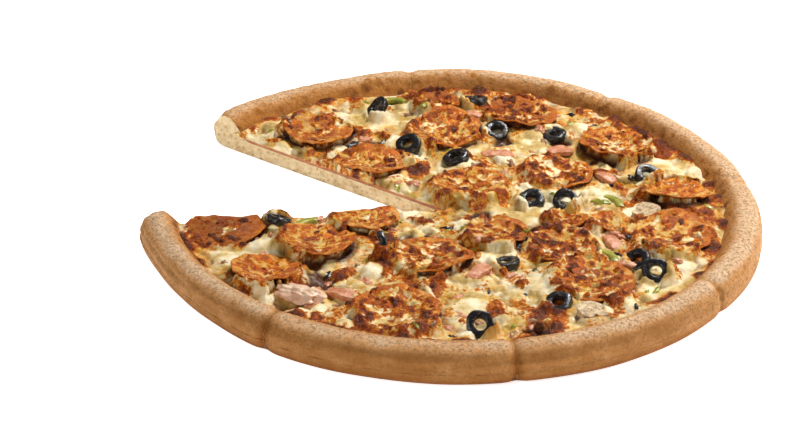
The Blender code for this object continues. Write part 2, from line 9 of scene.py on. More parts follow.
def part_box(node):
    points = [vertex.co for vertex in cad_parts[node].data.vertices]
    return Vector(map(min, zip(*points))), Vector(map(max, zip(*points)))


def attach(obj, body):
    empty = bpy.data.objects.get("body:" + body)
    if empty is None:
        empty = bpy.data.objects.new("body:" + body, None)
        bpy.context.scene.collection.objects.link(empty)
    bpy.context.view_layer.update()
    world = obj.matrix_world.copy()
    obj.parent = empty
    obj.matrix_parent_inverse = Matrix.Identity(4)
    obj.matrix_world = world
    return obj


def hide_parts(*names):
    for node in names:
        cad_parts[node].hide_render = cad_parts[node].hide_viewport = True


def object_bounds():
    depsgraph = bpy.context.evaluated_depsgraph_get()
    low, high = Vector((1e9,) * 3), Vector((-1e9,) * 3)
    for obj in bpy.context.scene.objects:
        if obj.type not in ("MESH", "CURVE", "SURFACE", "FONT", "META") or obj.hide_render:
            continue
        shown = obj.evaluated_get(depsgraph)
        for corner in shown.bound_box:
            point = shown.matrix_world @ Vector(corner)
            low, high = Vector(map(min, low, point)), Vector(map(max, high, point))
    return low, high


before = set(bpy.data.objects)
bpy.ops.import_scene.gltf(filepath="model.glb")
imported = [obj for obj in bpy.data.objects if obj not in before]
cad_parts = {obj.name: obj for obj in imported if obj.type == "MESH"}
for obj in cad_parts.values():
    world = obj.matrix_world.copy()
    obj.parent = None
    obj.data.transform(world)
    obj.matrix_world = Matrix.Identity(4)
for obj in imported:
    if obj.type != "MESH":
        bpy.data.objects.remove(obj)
cadBox = [list(corner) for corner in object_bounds()]
mm = 0.001
print("frame loaded")


# The sauce is a true ring round the middle of the pizza, so its box gives that middle
sauceLow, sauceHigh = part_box("sauce")
sauceReach = (sauceHigh.y - sauceLow.y) / 2
middle = Vector((sauceHigh.x - sauceReach, (sauceHigh.y + sauceLow.y) / 2, 0))
cutAngles = (-171, -124, -79, -34, 9, 55, 98, 144)
gapFirst, gapLast = cutAngles[-1], cutAngles[0] + 360


def polar(distance, angle):
    turn = math.radians(angle)
    return Vector((distance * math.cos(turn), distance * math.sin(turn), 0))


def spot(distance, angle):  # mm and degrees round the pizza, as a place in the frame
    return middle + polar(distance * mm, angle)


def ease(value):
    value = np.clip(value, 0, 1)
    return value * value * (3 - 2 * value)


def noiseField(xs, ys, size, seed):
    raw = np.array([noise.noise((x / size, y / size, seed)) for x, y in zip(xs, ys)])
    return np.clip(raw * 1.9, -1, 1)


# Short ways to the nodes that the materials are made of
def newMaterial(name):
    material = bpy.data.materials.new(name)
    material.use_nodes = True
    tree = material.node_tree
    coords = tree.nodes.new("ShaderNodeTexCoord")
    return material, tree, tree.nodes["Principled BSDF"], coords.outputs["Object"]


def addNoise(tree, coords, size, detail=3, roughness=0.55, distortion=0.0):
    node = tree.nodes.new("ShaderNodeTexNoise")
    node.inputs["Scale"].default_value = 1 / size
    node.inputs["Detail"].default_value = detail
    node.inputs["Roughness"].default_value = roughness
    node.inputs["Distortion"].default_value = distortion
    tree.links.new(coords, node.inputs["Vector"])
    return node.outputs["Fac"]


def addRamp(tree, factor, stops):
    node = tree.nodes.new("ShaderNodeValToRGB")
    ramp = node.color_ramp
    while len(ramp.elements) < len(stops):
        ramp.elements.new(0.5)
    for element, (place, color) in zip(ramp.elements, stops):
        element.position = place
        element.color = (*color, 1) if isinstance(color, tuple) else (color, color, color, 1)
    tree.links.new(factor, node.inputs["Fac"])
    return node.outputs["Color"]


def addMix(tree, factor, first, second):
    node = tree.nodes.new("ShaderNodeMix")
    node.data_type = "RGBA"
    tree.links.new(factor, node.inputs["Factor"])
    for socket, value in ((node.inputs[6], first), (node.inputs[7], second)):
        if isinstance(value, tuple):
            socket.default_value = (*value, 1)
        else:
            tree.links.new(value, socket)
    return node.outputs[2]


def addMath(tree, operation, first, second, third=None):
    node = tree.nodes.new("ShaderNodeMath")
    node.operation = operation
    for socket, value in zip(node.inputs, (first, second, third)):
        if isinstance(value, (int, float)):
            socket.default_value = value
        elif value is not None:
            tree.links.new(value, socket)
    return node.outputs[0]


def addSwing(tree, base, pattern, amount, down):  # base + pattern * amount - down
    return addMath(tree, "MULTIPLY_ADD", pattern, amount, addMath(tree, "SUBTRACT", base, down))


def addAttribute(tree, name):
    node = tree.nodes.new("ShaderNodeAttribute")
    node.attribute_name = name
    return node.outputs["Fac"]


def addBump(tree, height, distance, strength, normal=None):
    node = tree.nodes.new("ShaderNodeBump")
    node.inputs["Distance"].default_value = distance
    if isinstance(strength, bpy.types.NodeSocket):
        tree.links.new(strength, node.inputs["Strength"])
    else:
        node.inputs["Strength"].default_value = strength
    tree.links.new(height, node.inputs["Height"])
    if normal is not None:
        tree.links.new(normal, node.inputs["Normal"])
    return node.outputs["Normal"]


def addWetSpots(tree, shader, pattern, normal):  # small glossy spots on a skin that is dull in between
    tree.links.new(addRamp(tree, pattern, ((0.46, 0.75), (0.56, 0.1))), shader.inputs["Roughness"])
    shader.inputs["Specular IOR Level"].default_value = 0.3
    tree.links.new(normal, shader.inputs["Normal"])


# The golden skin of the bread: one attribute is how brown it is, with painted light and shade mixed in (paler
# on the right, a painted highlight along the top, painted shade along the cuts); "oily" is where the fat has
# soaked in
def bakedSkin():
    material, tree, shader, coords = newMaterial("bakedSkin")
    patches = addNoise(tree, coords, 14 * mm, 5, 0.6)
    grain = addNoise(tree, coords, 1.7 * mm, 5, 0.8)
    pores = addNoise(tree, coords, 6 * mm, 4, 0.66, 0.6)
    browningAndPaintedLight = addSwing(tree, addAttribute(tree, "browningAndPaintedLight"), patches, 0.5, 0.25)
    browningAndPaintedLight = addSwing(tree, browningAndPaintedLight, pores, 0.16, 0.08)
    browningAndPaintedLight = addSwing(tree, browningAndPaintedLight, grain, 0.6, 0.38)
    color = addRamp(tree, browningAndPaintedLight, (
        (0.0, (0.92, 0.66, 0.42)),
        (0.25, (0.77, 0.40, 0.16)),
        (0.5, (0.46, 0.195, 0.052)),
        (0.72, (0.30, 0.092, 0.010)),
        (1.0, (0.10, 0.026, 0.006)),
    ))
    soaked = addRamp(tree, patches, ((0.3, 0.35), (0.65, 1.0)))
    oily = addMath(tree, "MULTIPLY", addAttribute(tree, "oily"), soaked)
    color = addMix(tree, addMath(tree, "MULTIPLY", oily, 0.75), color, (0.66, 0.255, 0.036))
    color = addMix(tree, addRamp(tree, grain, ((0.37, 0.85), (0.57, 0.0))), color, (0.27, 0.10, 0.016))
    tree.links.new(color, shader.inputs["Base Color"])
    tree.links.new(addRamp(tree, oily, ((0.0, 0.82), (1.0, 0.5))), shader.inputs["Roughness"])
    shader.inputs["Specular IOR Level"].default_value = 0.2
    normal = addBump(tree, grain, 1.5 * mm, 0.8)
    tree.links.new(addBump(tree, pores, 2.4 * mm, 0.6, normal), shader.inputs["Normal"])
    return material


# The inside of the bread, with small open pores
def breadCrumb():
    material, tree, shader, coords = newMaterial("breadCrumb")
    holes = tree.nodes.new("ShaderNodeTexVoronoi")
    holes.inputs["Scale"].default_value = 1 / (2.6 * mm)
    tree.links.new(coords, holes.inputs["Vector"])
    patches = addNoise(tree, coords, 5 * mm, 4, 0.6)
    color = addRamp(tree, patches, ((0.3, (0.60, 0.40, 0.18)), (0.7, (0.80, 0.64, 0.40))))
    walls = addRamp(tree, holes.outputs["Distance"], ((0.1, 0.0), (0.42, 1.0)))
    color = addMix(tree, walls, (0.55, 0.33, 0.12), color)
    tree.links.new(color, shader.inputs["Base Color"])
    shader.inputs["Roughness"].default_value = 0.85
    tree.links.new(addBump(tree, walls, 0.7 * mm, 0.6), shader.inputs["Normal"])
    return material


# The cheese: white and yellow, with pools of fat, browned by "toast", and darkened by "deep" with painted
# shade in hollows, in the pits and under the pepperoni
def meltedSkin():
    material, tree, shader, coords = newMaterial("meltedSkin")
    broad = addNoise(tree, coords, 12 * mm, 3, 0.5)
    mid = addNoise(tree, coords, 4.2 * mm, 5, 0.7, 0.5)
    fine = addNoise(tree, coords, 1.9 * mm, 4, 0.75)
    color = addRamp(tree, broad, (
        (0.38, (0.52, 0.345, 0.11)),
        (0.47, (0.77, 0.58, 0.26)),
        (0.57, (0.91, 0.80, 0.55)),
    ))
    pooled = addRamp(tree, mid, ((0.42, 0.4), (0.56, 1.0)))
    oil = addMath(tree, "MULTIPLY", addAttribute(tree, "oil"), pooled)
    fat = addRamp(tree, oil, ((0.4, (0.68, 0.42, 0.030)), (0.85, (0.70, 0.26, 0.005))))
    color = addMix(tree, addMath(tree, "MULTIPLY", oil, 0.8), color, fat)
    toast = addSwing(tree, addAttribute(tree, "toast"), mid, 1.8, 0.9)
    toast = addSwing(tree, toast, fine, 1.6, 0.8)
    brown = addRamp(tree, toast, (
        (0.18, (0.80, 0.42, 0.018)),
        (0.32, (0.74, 0.205, 0.003)),
        (0.52, (0.46, 0.082, 0.003)),
        (0.75, (0.25, 0.044, 0.005)),
        (1.0, (0.10, 0.022, 0.004)),
    ))
    color = addMix(tree, addRamp(tree, toast, ((0.1, 0.0), (0.25, 1.0))), color, brown)
    # painted shade: near-black where "deep" marks hollows, pits and the cheese under the pepperoni
    color = addMix(tree, addAttribute(tree, "deep"), color, (0.08, 0.022, 0.005))
    tree.links.new(color, shader.inputs["Base Color"])
    shader.inputs["Subsurface Weight"].default_value = 0.1
    shader.inputs["Subsurface Radius"].default_value = (1.0, 0.6, 0.3)
    shader.inputs["Subsurface Scale"].default_value = 1.5 * mm
    wet = addNoise(tree, coords, 3.6 * mm, 3, 0.6)
    rough = addRamp(tree, toast, ((0.0, 0.25), (0.35, 0.9)))
    addWetSpots(tree, shader, wet, addBump(tree, fine, 1.6 * mm, rough, addBump(tree, mid, 3 * mm, rough)))
    return material


# Red meat, crisp where "toast" is high, with an orange fried "edge"
def curedSausage():
    material, tree, shader, coords = newMaterial("curedSausage")
    broad = addNoise(tree, coords, 9 * mm, 4, 0.6)
    mid = addNoise(tree, coords, 4 * mm, 6, 0.7, 0.5)
    veil = addNoise(tree, coords, 7 * mm, 6, 0.66, 0.8)
    fine = addNoise(tree, coords, 2.2 * mm, 4, 0.7)
    color = addRamp(tree, mid, (
        (0.42, (0.06, 0.010, 0.005)),
        (0.48, (0.24, 0.026, 0.007)),
        (0.53, (0.48, 0.064, 0.008)),
        (0.60, (0.74, 0.20, 0.016)),
    ))
    # a thin veil of cheese with browned edges
    cheesy = addRamp(tree, veil, (
        (0.49, (0.42, 0.080, 0.007)),
        (0.52, (0.72, 0.25, 0.012)),
        (0.55, (0.80, 0.43, 0.045)),
        (0.61, (0.86, 0.63, 0.22)),
    ))
    color = addMix(tree, addRamp(tree, veil, ((0.475, 0.0), (0.51, 0.92))), color, cheesy)
    crisp = addSwing(tree, addAttribute(tree, "toast"), broad, 1.6, 0.8)
    color = addMix(tree, addRamp(tree, crisp, ((0.36, 0.0), (0.7, 0.8))), color, (0.15, 0.026, 0.008))
    color = addMix(tree, addAttribute(tree, "edge"), color, (0.74, 0.19, 0.008))
    tree.links.new(color, shader.inputs["Base Color"])
    normal = addBump(tree, veil, 2.0 * mm, 0.7)
    normal = addBump(tree, mid, 2.0 * mm, 0.8, normal)
    wet = addNoise(tree, coords, 3.2 * mm, 3, 0.6)
    addWetSpots(tree, shader, wet, addBump(tree, fine, 1.2 * mm, 0.8, normal))
    return material


# A moist topping with two tones, browned in patches
def moistFood(name, light, dark, browned, size, brownShare, roughness, bump):
    material, tree, shader, coords = newMaterial(name)
    size, bump = size * mm, bump * mm
    broad = addNoise(tree, coords, size, 4, 0.6)
    fine = addNoise(tree, coords, size / 6, 3, 0.6)
    color = addRamp(tree, broad, ((0.36, dark), (0.62, light)))
    spots = addNoise(tree, coords, size * 0.7, 3, 0.6, 0.8)
    spots = addRamp(tree, spots, ((0.74 - brownShare, 0.0), (0.86 - brownShare, 0.8)))
    tree.links.new(addMix(tree, spots, color, browned), shader.inputs["Base Color"])
    gloss = addRamp(tree, fine, ((0.3, roughness * 0.8), (0.7, roughness * 1.25)))
    tree.links.new(gloss, shader.inputs["Roughness"])
    normal = addBump(tree, broad, 2 * bump, 0.7, addBump(tree, fine, bump, 0.6))
    tree.links.new(normal, shader.inputs["Normal"])
    return material


# light, dark and browned colours, size of the patches in mm, share browned, roughness, bump in mm
moistLook = {
    "blackOlive": ((0.02, 0.017, 0.018), (0.006, 0.006, 0.007), (0.16, 0.11, 0.07), 5, 0.16, 0.22, 0.35),
    "pinkHam": ((0.78, 0.40, 0.25), (0.58, 0.19, 0.09), (0.48, 0.15, 0.03), 4, 0.3, 0.3, 0.5),
    "greenPepper": ((0.40, 0.36, 0.05), (0.22, 0.24, 0.025), (0.42, 0.24, 0.05), 7, 0.14, 0.26, 0.3),
    "softMushroom": ((0.76, 0.58, 0.34), (0.48, 0.31, 0.14), (0.18, 0.09, 0.04), 4, 0.24, 0.42, 0.7),
    "paleChicken": ((0.83, 0.62, 0.44), (0.76, 0.46, 0.30), (0.55, 0.25, 0.09), 8, 0.08, 0.36, 0.4),
    "brownedMeat": ((0.46, 0.24, 0.10), (0.26, 0.11, 0.04), (0.13, 0.045, 0.018), 5, 0.2, 0.4, 0.6),
    "tomatoSauce": ((0.52, 0.17, 0.04), (0.36, 0.08, 0.015), (0.30, 0.09, 0.02), 6, 0.1, 0.3, 0.6),
}
skins = {
    "bakedSkin": bakedSkin(),
    "breadCrumb": breadCrumb(),
    "meltedSkin": meltedSkin(),
    "curedSausage": curedSausage(),
}
for name, values in moistLook.items():
    skins[name] = moistFood(name, *values)
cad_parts["sauce"].material_slots[0].material = skins["tomatoSauce"]
print("materials made")


def addObject(name, data):
    made = bpy.data.objects.new(name, data)
    bpy.context.scene.collection.objects.link(made)
    return made


# Finishing a piece: mesh, materials, smooth faces, body and the nodes that it stands for
def finishPiece(bm, name, materials, nodes=(), creaseAngle=50):
    bmesh.ops.recalc_face_normals(bm, faces=bm.faces[:])
    for vert in bm.verts:
        vert.co.x = min(max(vert.co.x, cadBox[0][0]), cadBox[1][0])
        vert.co.y = min(max(vert.co.y, cadBox[0][1]), cadBox[1][1])
        vert.co.z = min(max(vert.co.z, 0), cadBox[1][2])
    mesh = bpy.data.meshes.new(name)
    bm.to_mesh(mesh)
    bm.free()
    for material in materials:
        mesh.materials.append(skins[material])
    mesh.shade_smooth()
    mesh.set_sharp_from_angle(angle=math.radians(creaseAngle))
    piece = addObject(name, mesh)
    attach(piece, "root")
    if nodes:
        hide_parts(*nodes)


def placeOnNode(bm, node, sink=0.0):  # sets the mesh in the middle of the node's box, on its underside
    low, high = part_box(node)
    spots = [vert.co for vert in bm.verts]
    ownLow = Vector([min(co[axis] for co in spots) for axis in range(3)])
    ownHigh = Vector([max(co[axis] for co in spots) for axis in range(3)])
    move = (low + high - ownLow - ownHigh) / 2
    move.z = low.z - ownLow.z - sink
    bmesh.ops.translate(bm, verts=bm.verts[:], vec=move)


def turnPiece(bm, degrees, axis):
    bmesh.ops.rotate(bm, verts=bm.verts[:], matrix=Matrix.Rotation(math.radians(degrees), 3, axis))


def vertsOf(items):
    return [item for item in items if isinstance(item, bmesh.types.BMVert)]


def edgesOf(items):
    return [item for item in items if isinstance(item, bmesh.types.BMEdge)]


def scaled(vector, sizes):
    return Vector([value * size for value, size in zip(vector, sizes)])


# Bread: a box of cells bent into one slice of crust
crustLook = {
    "radius": 176 * mm,
    "height": 22 * mm,
    "rimWidth": 29 * mm,
    "crestInset": 12.5 * mm,
    "floor": 8.5 * mm,
    "widest": 9 * mm,
    "squareness": 0.78,
    "cutWidth": 0.3 * mm,
    # how far each slice swells outwards and upwards, in mm
    "spread": (-2.4, 0.6, 0.0, 0.6, 0.0, 0.0, -0.6),
    "rise": (-0.4, 0.0, 0.3, 0.0, 0.4, 1.0, -1.0),
    "notchDepth": 1.5 * mm,
    "notchLength": 4 * mm,
    "lump": 0.8 * mm,
    "aroundSteps": 96,
    "crowding": 0.72,  # how much closer the steps lie at the cuts
    "deepSteps": 14,
    "slopeSteps": 18,
    "outerSteps": 26,
    "floorSteps": 24,
    "shownFloorSteps": 120,  # where the cut face looks into the gap
    "coreInset": 14 * mm,
    "coreHeight": 9 * mm,
    "blisters": 60,
    "blisterSeed": 11,
    "crumbDepth": 1.04 * mm,
}
crest, foot = crustLook["radius"] - crustLook["crestInset"], crustLook["radius"] - crustLook["rimWidth"]


def slopeHeight(share):  # of the inner slope, from 0 at the crest to 1 at the foot
    fall = 0.5 + 0.5 * math.cos(math.pi * share)
    return crustLook["floor"] + (crustLook["height"] - crustLook["floor"]) * fall


def crustStations(floorSteps):
    look = crustLook
    low, high = look["widest"], look["height"] - look["widest"]
    stations = []
    for i in range(floorSteps):
        stations.append((foot * i / floorSteps, look["floor"], 0.0, "floor"))
    for i in range(look["slopeSteps"]):
        share = 1 - i / look["slopeSteps"]
        stations.append((crest + (foot - crest) * share, slopeHeight(share), 0.0, "slope"))
    for i in range(look["outerSteps"] + 1):
        turn = math.pi / 2 * i / look["outerSteps"]
        reach = math.sin(turn) ** look["squareness"]
        lift = math.cos(turn) ** look["squareness"] if i < look["outerSteps"] else 0
        stations.append((crest + look["crestInset"] * reach, low + high * lift, low - low * lift, "outer"))
    return stations


def browningAndLightAmount(radius, height, angle, side):  # how brown the skin is, with painted light: paler on the right where the light falls, paler at the left end, a painted highlight along the top and below the crest at the back, browner down the slope at the back
    fromRight = (angle - 5 + 180) % 360 - 180
    # painted light: the right-hand term makes the side where the light falls paler; the left end is paler too
    paleEndAndLitRight = 0.22 * math.exp(-((angle + 180) % 360 / 46) ** 2) + 0.32 * math.exp(-(fromRight / 56) ** 2)
    back = 0.5 + 0.5 * math.sin(math.radians(angle))
    if side == "bottom":
        return 0.62 + 0.1 * float(ease((radius - foot) / crustLook["rimWidth"]))
    if radius > crest:
        lower = float(ease((10 * mm - height) / (10 * mm)))
        # painted highlight: the top of the outer face is made lighter, more so at the back
        paintedTopHighlight = float(ease((height - 17.5 * mm) / (5 * mm)))
        return 0.6 - 1.05 * paleEndAndLitRight + 0.42 * lower - (0.42 + 0.1 * back) * paintedTopHighlight
    slope = (crest - radius) / (crest - foot)
    # painted highlight just below the crest at the back
    return 0.3 - 0.15 * paleEndAndLitRight + (0.35 + 0.95 * back) * slope ** 1.3 - 0.3 * back * (1 - slope) ** 2


def crustPiece(number, blisters):
    look = crustLook
    start, end = cutAngles[number], cutAngles[number + 1]
    span = math.radians(end - start)
    shown = {0: 0, 6: look["aroundSteps"]}.get(number)  # the step whose cut face looks into the gap
    stations = crustStations(look["floorSteps"] if shown is None else look["shownFloorSteps"])
    along, around, deep = len(stations) - 1, look["aroundSteps"], look["deepSteps"]
    bm = bmesh.new()
    bmesh.ops.create_cube(bm, size=1)
    for axis, cuts in ((0, along - 1), (2, deep - 1), (1, around - 1)):
        others = [other for other in range(3) if other != axis]
        edges = [edge for edge in bm.edges
                 if all(abs(edge.verts[0].co[o] - edge.verts[1].co[o]) < 1e-5 for o in others)]
        bmesh.ops.subdivide_edges(bm, edges=edges, cuts=cuts, use_grid_fill=True)
    for face in bm.faces:
        face.material_index = 1 if abs(face.normal.y) > 0.5 else 0
    browningAndLightLayer = bm.verts.layers.float.new("browningAndPaintedLight")
    oilyLayer = bm.verts.layers.float.new("oily")
    crumbMoves = []
    apart = middle + polar(look["cutWidth"] / 2 / math.sin(span / 2), (start + end) / 2)
    spread, rise = look["spread"][number] * mm, look["rise"][number] * mm
    for vert in bm.verts:
        step, depth = round((vert.co.x + 0.5) * along), vert.co.z + 0.5
        aroundStep = round((vert.co.y + 0.5) * around)
        radius, top, bottom, zone = stations[step]
        height = bottom + (top - bottom) * depth
        share = aroundStep / around
        share -= look["crowding"] * math.sin(2 * math.pi * share) / (2 * math.pi)
        turn = math.radians(start) + share * span
        angle = math.degrees(turn)
        fromCut = min(share, 1 - share) * span * look["radius"]
        notch = math.exp(-((fromCut / look["notchLength"]) ** 2)) * look["notchDepth"]
        swell = noise.noise((4 * math.cos(turn), 4 * math.sin(turn), 7 * height / look["height"]))
        lean = float(ease(3 * min(share, 1 - share)))
        outwards = float(ease((radius - foot) / look["rimWidth"]))
        side = "bottom" if depth < 0.01 and zone != "outer" else "top"
        browningAndPaintedLight = browningAndLightAmount(radius, height, angle, side)
        oily = (0.3 + 0.3 * math.sin(turn)) * float(ease((height - 12 * mm) / (7 * mm)))
        if zone == "slope" and depth > 0.99:
            oily = max(oily, float(ease((crest - radius) / (8 * mm))))
        if height > look["floor"]:
            above = (height - look["floor"]) / (look["height"] - look["floor"])
            height += above * (rise * lean - 0.8 * notch + 0.8 * look["lump"] * swell)
        if height > 0.1 * mm:
            radius += outwards * (spread * lean - notch + look["lump"] * swell)
        else:
            radius += outwards * spread * lean
        # painted shade: the skin darkens along the knife cuts, where the gaps between slices lie in shade
        browningAndPaintedLight += 0.3 * math.exp(-((fromCut / (2.2 * mm)) ** 2)) * (zone != "floor")
        place = Vector((radius * math.cos(turn), radius * math.sin(turn), height))
        if zone == "slope":  # scorched blotches where the cheese fried against the rim
            blotch = noise.noise(place / (5 * mm)) + 0.5 * noise.noise(place / (2.2 * mm)) - 0.08
            scorch = max(0, blotch) * (crest - radius) / (crest - foot)
            browningAndPaintedLight += 1.6 * scorch
            oily *= max(0, 1 - 4 * scorch)
        if zone != "floor" and depth > 0.01 and height > 1 * mm:
            # small wrinkles and blisters swell out of the skin, away from the middle of the rim
            coreRadius = look["radius"] - look["coreInset"]
            core = Vector((coreRadius * math.cos(turn), coreRadius * math.sin(turn), look["coreHeight"]))
            relief = 0.32 * noise.noise(place / (6 * mm)) + 0.2 * noise.noise(place / (2.6 * mm)) - 0.15
            for blister, size, dark in blisters:
                away = (place - blister).length / size * (1 + 0.9 * noise.noise(place / (2.2 * mm)))
                if away < 1:
                    relief += 0.45 * float(ease(1 - away))
                    browningAndPaintedLight += dark * float(ease(1.3 - 1.3 * away))
            place += (place - core).normalized() * relief * mm
        vert[browningAndLightLayer] = min(max(browningAndPaintedLight, 0), 1)
        vert[oilyLayer] = oily
        vert.co = place + apart
        if aroundStep == shown and 0 < depth < 1 and step > 3:
            pit = noise.voronoi(place / (3.4 * mm))[0][0]
            inwards = polar(1, math.degrees(turn) + (90 if shown == 0 else -90))
            rough = 0.25 * noise.noise(place / (1.6 * mm)) + 0.25
            crumbMoves.append((vert, inwards * look["crumbDepth"] * (float(ease(1 - pit / 0.62)) + rough)))
    for vert, move in crumbMoves:
        vert.co += move
    bmesh.ops.remove_doubles(bm, verts=bm.verts[:], dist=1e-6)
    finishPiece(bm, f"bakedSlice{number + 1}", ("bakedSkin", "breadCrumb"),
                [f"crust_slice_{number + 1}"], 60)


def crustBlisters():  # place, size and how dark, on the inner slope
    draw = random.Random(crustLook["blisterSeed"])
    made = []
    for _ in range(crustLook["blisters"]):
        angle = draw.gauss(75, 55)
        share = draw.uniform(0.1, 0.95)
        place = polar(crest + (foot - crest) * share, angle) + Vector((0, 0, slopeHeight(share)))
        made.append((place, draw.uniform(1.2, 3.2 + 2 * share) * mm, draw.uniform(0.25, 0.6)))
    return made


blisters = crustBlisters()
for number in range(len(cutAngles) - 1):
    crustPiece(number, blisters)
print("crust baked")


# Pepperoni: radius, cup, fold, fold direction, tilt, direction tilted up, toasting, cheese cover
pepperoniLook = {
    "thickness": 1.5 * mm,
    "segments": 60,
    "rings": 13,
    "wrinkle": 1.1 * mm,
    "frill": 1.7 * mm,
    "lip": 2.4 * mm,
    "sink": 1.0 * mm,
    "shapes": (
        (21, 1.6, -1.5, 20, 3, 90, 0.75, -0.15),
        (19, 4.0, 1.5, 120, 9, 250, 0.2, -0.25),
        (21, 3.6, 1.5, 20, 8, 245, 0.25, 0.15),
        (19, 2.2, 0.8, 60, 2, 300, 0.1, 0.05),
        (22, 2.8, 1.2, 150, 6, 280, 0.3, 0.0),
        (23, 2.6, 1.4, 160, 3, 90, 0.35, 0.2),
        (18, 3.4, 1.6, 70, 7, 270, 0.4, 0.15),
        (19, 2.2, 1.0, 40, 4, 120, 0.5, 0.1),
        (11, 2.6, 2.0, 10, 8, 260, 0.3, 0.1),
        (12, 3.0, 1.0, 100, 6, 200, 0.1, -0.1),
        (22, 3.2, 1.4, 30, 4, 110, 0.35, 0.05),
        (19, 4.2, 2.0, 90, 12, 265, 0.05, -0.3),
        (21, 3.2, 3.0, 80, 3, 90, 0.35, 0.1),
        (22, 3.4, 1.6, 40, 7, 240, 0.3, 0.0),
        (20, 2.4, 1.2, 120, 3, 200, 0.4, 0.2),
        (22, 2.6, 1.5, 60, 5, 250, 0.6, -0.1),
        (22, 3.6, 1.5, 80, 5, 90, 0.3, 0.15),
        (22, 3.2, 1.4, 110, 7, 275, 0.3, 0.1),
        (14, 3.0, 2.0, 50, 6, 260, 0.55, -0.1),
        (21, 3.0, 1.4, 130, 4, 230, 0.4, 0.1),
        (20, 2.6, 1.2, 70, 4, 280, 0.4, 0.1),
    ),
}


def pepperoniBend(shape, dx, dy):  # height of the bent slice over its own flat plane
    radius, cup, fold, foldTurn, tilt, tiltTurn = shape[0] * mm, shape[1] * mm, shape[2] * mm, *shape[3:6]
    foldTurn, tiltTurn = math.radians(foldTurn), math.radians(tiltTurn)
    share = np.hypot(dx, dy) / radius
    wave = 0.35 * mm * share ** 3 * np.cos(3 * np.arctan2(dy, dx) + foldTurn)
    folded = fold * ((dx * math.cos(foldTurn) + dy * math.sin(foldTurn)) / radius) ** 2
    tilted = math.tan(math.radians(tilt)) * (dx * math.cos(tiltTurn) + dy * math.sin(tiltTurn))
    lip = pepperoniLook["lip"] * share ** 7 * (0.6 + 0.4 * np.cos(2 * np.arctan2(dy, dx) + 3 * foldTurn))
    return cup * share ** 2.4 + folded + wave + tilted + lip


def pepperoniPlace(number, shape):
    # the outline is a circle seen from above, so the sides away from the gap give its centre
    low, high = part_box(f"pepperoni_{number:02d}")
    radius = shape[0] * mm
    reach = radius * math.sin(math.radians(80))
    x = (low.x + high.x) / 2 if low.y < middle.y or high.x > middle.x - 30 * mm else high.x - radius
    y = high.y - reach if low.y > middle.y else low.y + reach
    turns = np.radians(np.arange(0, 360, 10))
    grid = [pepperoniBend(shape, share * radius * np.cos(turns), share * radius * np.sin(turns))
            for share in (0, 0.3, 0.6, 0.8, 1)]
    return Vector((x, y, low.z - float(np.min(grid)) - pepperoniLook["sink"]))


pepperoniPlaces = [pepperoniPlace(i + 1, shape) for i, shape in enumerate(pepperoniLook["shapes"])]


def trimAtGap(bm):  # cuts a slice off where the pizza was cut
    for angle, side in ((gapFirst, -1), (gapLast, 1)):
        normal = polar(1, angle + 90) * side
        centre = sum((vert.co for vert in bm.verts), Vector()) / len(bm.verts) - middle
        if centre.dot(polar(1, angle)) < 0 or centre.length < 20 * mm:
            continue
        sides = [(vert.co - middle).dot(normal) for vert in bm.verts]
        if min(sides) > 0 or max(sides) < 0:
            continue
        cut = bmesh.ops.bisect_plane(bm, geom=bm.verts[:] + bm.edges[:] + bm.faces[:],
                                     plane_co=middle, plane_no=normal, clear_inner=True)["geom_cut"]
        bmesh.ops.holes_fill(bm, edges=edgesOf(cut), sides=0)


def pepperoniPiece(number, shape, place):
    look = pepperoniLook
    radius, toasting = shape[0] * mm, shape[6]
    bm = bmesh.new()
    bmesh.ops.create_circle(bm, cap_ends=True, segments=look["segments"], radius=radius)
    inner = bm.faces[:]
    for _ in range(look["rings"] - 1):
        bmesh.ops.inset_region(bm, faces=inner, thickness=radius / look["rings"], use_even_offset=True)
    bmesh.ops.poke(bm, faces=inner)
    raised = bmesh.ops.extrude_face_region(bm, geom=bm.faces[:])["geom"]
    bmesh.ops.translate(bm, verts=vertsOf(raised), vec=(0, 0, look["thickness"]))
    walls = [edge for edge in bm.edges if abs(edge.verts[0].co.z - edge.verts[1].co.z) > 1 * mm]
    bmesh.ops.subdivide_edges(bm, edges=walls, cuts=2)
    toastLayer = bm.verts.layers.float.new("toast")
    edgeLayer = bm.verts.layers.float.new("edge")
    for vert in bm.verts:
        dx, dy, level = vert.co.x, vert.co.y, vert.co.z / look["thickness"]
        share = math.hypot(dx, dy) / radius
        turn = math.atan2(dy, dx)
        height = float(pepperoniBend(shape, dx, dy))
        here = Vector((dx, dy, 0))
        wrinkle = noise.noise(here / (7 * mm) + place * 90)
        wrinkle += 0.6 * abs(noise.noise(here / (3 * mm) + place * 70))
        frill = noise.noise((2.2 * math.cos(turn), 2.2 * math.sin(turn), number)) * share ** 4
        height += look["wrinkle"] * wrinkle * (0.4 + 0.6 * share) + look["frill"] * frill
        grow = 1 + 0.1 * noise.noise((1.8 * math.cos(turn), 1.8 * math.sin(turn), number + 40)) * share ** 2
        if 0.1 < level < 0.9:
            grow += 0.018
        thin = 1 - 0.45 * share ** 4
        charred = 0.25 * share ** 3 * noise.noise((2 * turn, number, 3)) + 0.12 * share
        vert[toastLayer] = min(1, toasting + charred)
        vert[edgeLayer] = float(ease((share - 0.91 + 0.08 * wrinkle) / 0.08)) * (0.85 if level < 0.9 else 0.5)
        vert.co = Vector((dx * grow, dy * grow, height + vert.co.z * thin)) + place
    trimAtGap(bm)
    node = f"pepperoni_{number:02d}"
    finishPiece(bm, f"curledPepperoni{number:02d}", ("curedSausage",), [node], 60)


for number, shape in enumerate(pepperoniLook["shapes"], 1):
    pepperoniPiece(number, shape, pepperoniPlaces[number - 1])
print("pepperoni laid")


